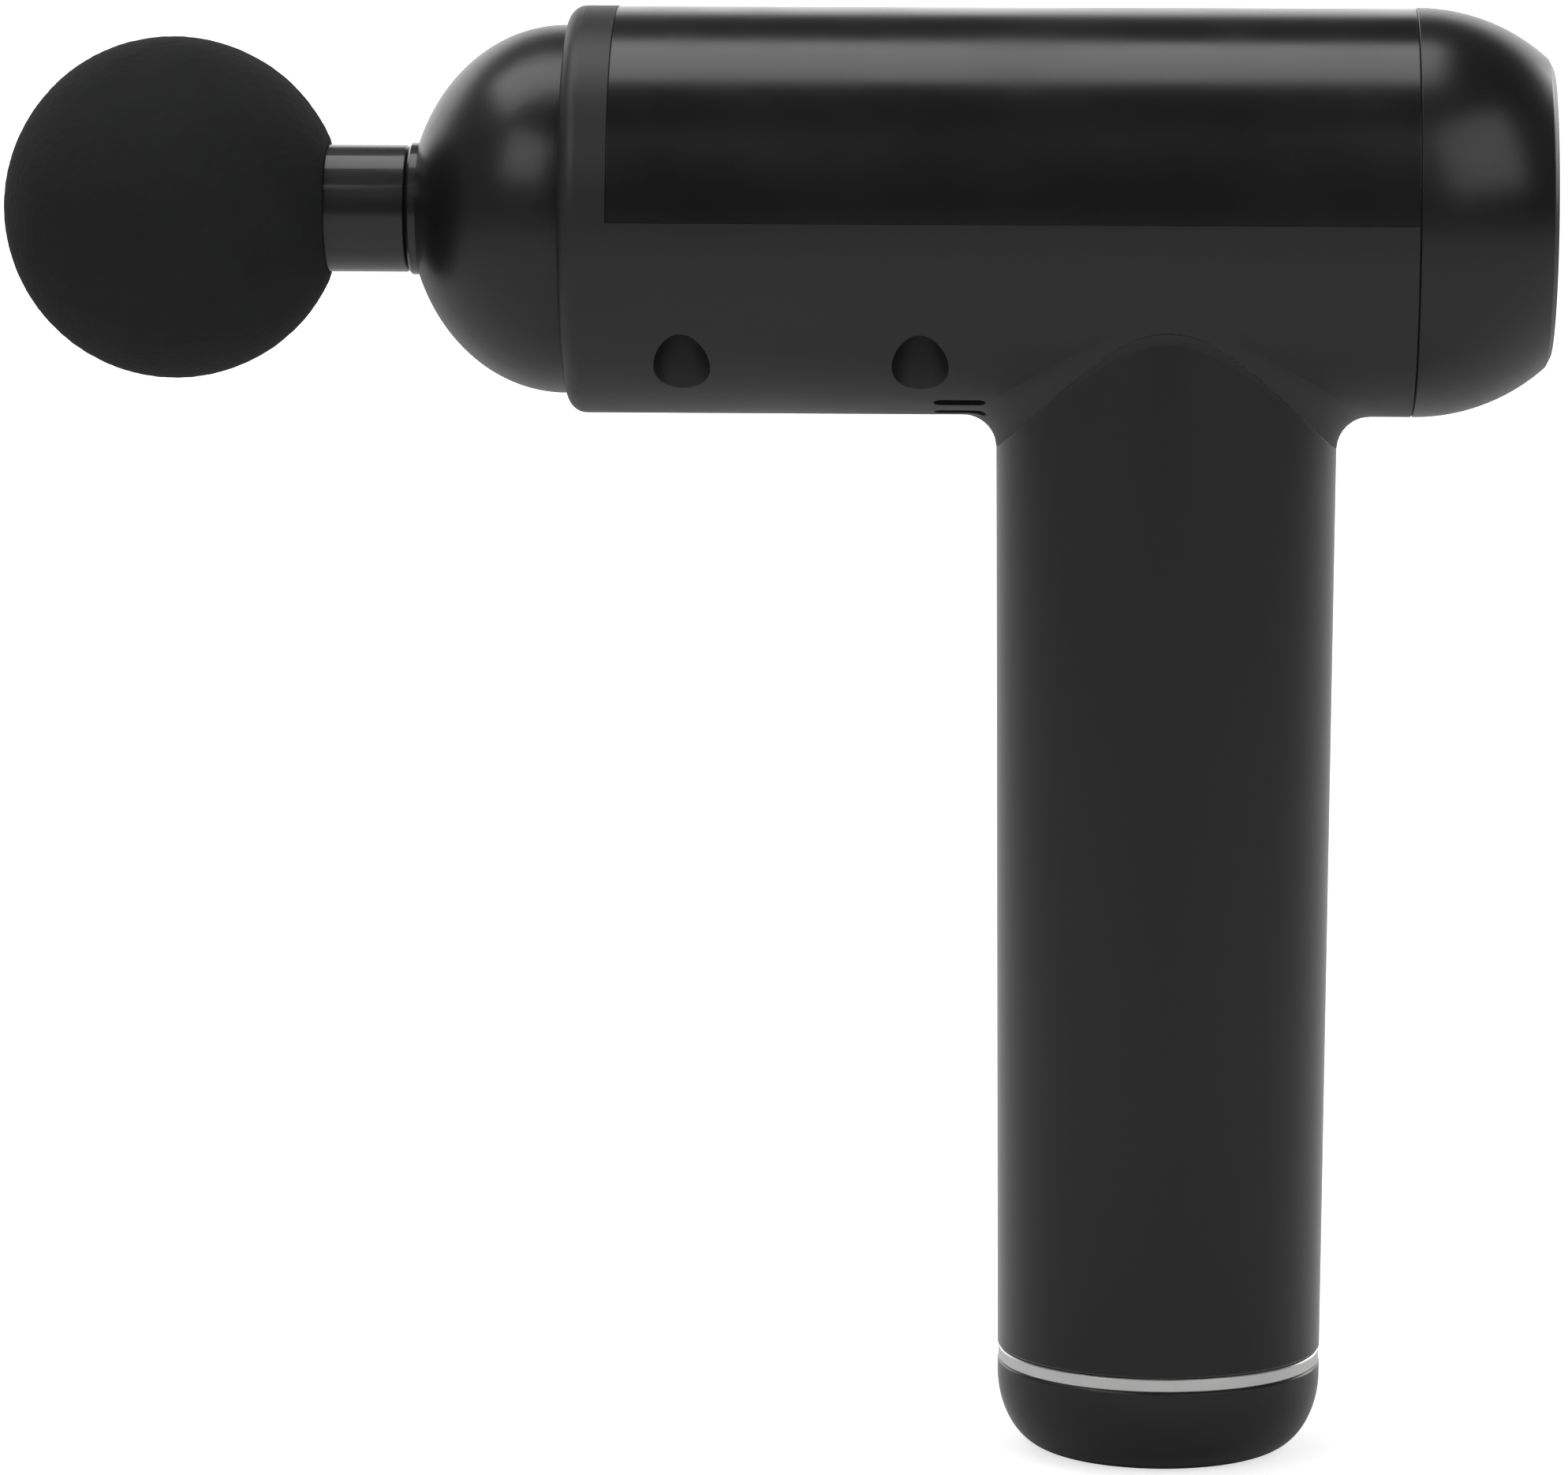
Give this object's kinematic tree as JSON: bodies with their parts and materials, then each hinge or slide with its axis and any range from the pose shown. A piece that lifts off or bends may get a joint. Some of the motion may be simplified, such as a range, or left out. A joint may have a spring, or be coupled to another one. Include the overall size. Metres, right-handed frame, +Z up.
{
  "type": "massage gun",
  "caption": "Cordless percussion massage gun: round barrel on a round upright handle, ball head on a reciprocating plunger driven by a crank.",
  "frame": {"origin": "middle of the flat underside of the handle, where the massage gun stands", "axes": "+Z up the handle, the barrel lies along X with the nose and the ball head towards -X, and XZ is the plane of symmetry of the outer shape"},
  "size_m": [0.2475, 0.0654, 0.2344],
  "materials": {
    "black_shell": "fine satin moulded plastic, nearly black",
    "matte_shell": "fine matt moulded plastic, nearly black",
    "soft_grip": "soft-touch satin skin, nearly black",
    "silver_trim": "satin silver",
    "foam": "dense matt closed-cell foam with a fine porous skin",
    "neck_plastic": "smooth half-gloss black plastic",
    "black_rubber": "matt rubber",
    "dark_glass": "clear gloss cover over a dark display",
    "board_green": "green board",
    "module_plastic": "plain moulded plastic",
    "screw_steel": "dark zinc",
    "lead_insulation": "coloured insulation",
    "cast_aluminium": "die-cast, tumbled",
    "bearing_steel": "ground steel",
    "bush_bronze": "sintered bronze",
    "copper_winding": "enamelled copper wire",
    "rod_plastic": "natural acetal",
    "cell_wrap": "wrapped cell",
    "nickel": "nickel plate"
  },
  "bodies": {
    "housing": {"base_cap": "black_shell", "base_screws": "screw_steel", "battery_board": "board_green", "battery_cells": "cell_wrap", "battery_leads": "lead_insulation", "capacitor": "cast_aluminium", "cell_holder_lower": "module_plastic", "cell_holder_middle": "module_plastic", "cell_holder_upper": "module_plastic", "charge_jack": "nickel", "charge_leads": "lead_insulation", "controller_board": "board_green", "controller_screws": "screw_steel", "display_board": "board_green", "display_lens": "dark_glass", "display_module": "module_plastic", "display_ribbon": "lead_insulation", "display_screws": "screw_steel", "frame_dampers": "black_rubber", "frame_screws": "screw_steel", "front_bush": "bush_bronze", "grip_sleeve": "soft_grip", "heat_sink": "cast_aluminium", "housing_screws": "screw_steel", "jack_nut": "nickel", "lower_housing": "matte_shell", "mechanism_frame": "cast_aluminium", "motor_base": "cast_aluminium", "motor_bearings": "bearing_steel", "motor_leads": "lead_insulation", "motor_screws": "screw_steel", "motor_stator": "bearing_steel", "motor_windings": "copper_winding", "nickel_strips": "nickel", "nose_dome": "black_shell", "nose_seal": "black_rubber", "rear_bush": "bush_bronze", "rear_cap": "black_shell", "switch_body": "module_plastic", "trim_ring": "silver_trim", "upper_cover": "black_shell"},
    "plunger": {"plunger": "neck_plastic", "wrist_pins": "bearing_steel"},
    "head": {"head_stem": "neck_plastic", "head_ball": "foam", "head_o_rings": "black_rubber"},
    "crank": {"rotor_bell": "bearing_steel", "rotor_magnets": "bearing_steel", "motor_shaft": "bearing_steel", "crank_wheel": "bearing_steel", "crank_pin": "bearing_steel", "crank_clip": "bearing_steel"},
    "rod": {"connecting_rod": "rod_plastic", "big_end_bearing": "bearing_steel", "small_end_bush": "bush_bronze"},
    "rocker": {"switch_rocker": "module_plastic"}
  },
  "joints": [
    {"name": "plunger_stroke", "type": "slide", "parent": "housing", "child": "plunger", "axis": [-1, 0, 0], "range_m": [0, 0.01]},
    {"name": "head_pull", "type": "slide", "parent": "plunger", "child": "head", "axis": [-1, 0, 0], "range_m": [0, 0.022]},
    {"name": "crank_spin", "type": "hinge", "parent": "housing", "child": "crank", "pos_m": [-0.004, 0, 0.2018], "axis": [0, 0, 1], "continuous": true},
    {"name": "rod_swing", "type": "hinge", "parent": "crank", "child": "rod", "pos_m": [0.001, 0, 0.2018], "axis": [0, 0, 1], "continuous": true},
    {"name": "rocker_tilt", "type": "hinge", "parent": "housing", "child": "rocker", "pos_m": [0, -0.0082, 0.0034], "axis": [0, 1, 0], "range_deg": [0, 14]}
  ],
  "couplings": [
    {"joint": "crank_spin", "follows": "plunger_stroke", "rad_per_m": 314.16},
    {"joint": "rod_swing", "follows": "plunger_stroke", "rad_per_m": -314.16}
  ]
}
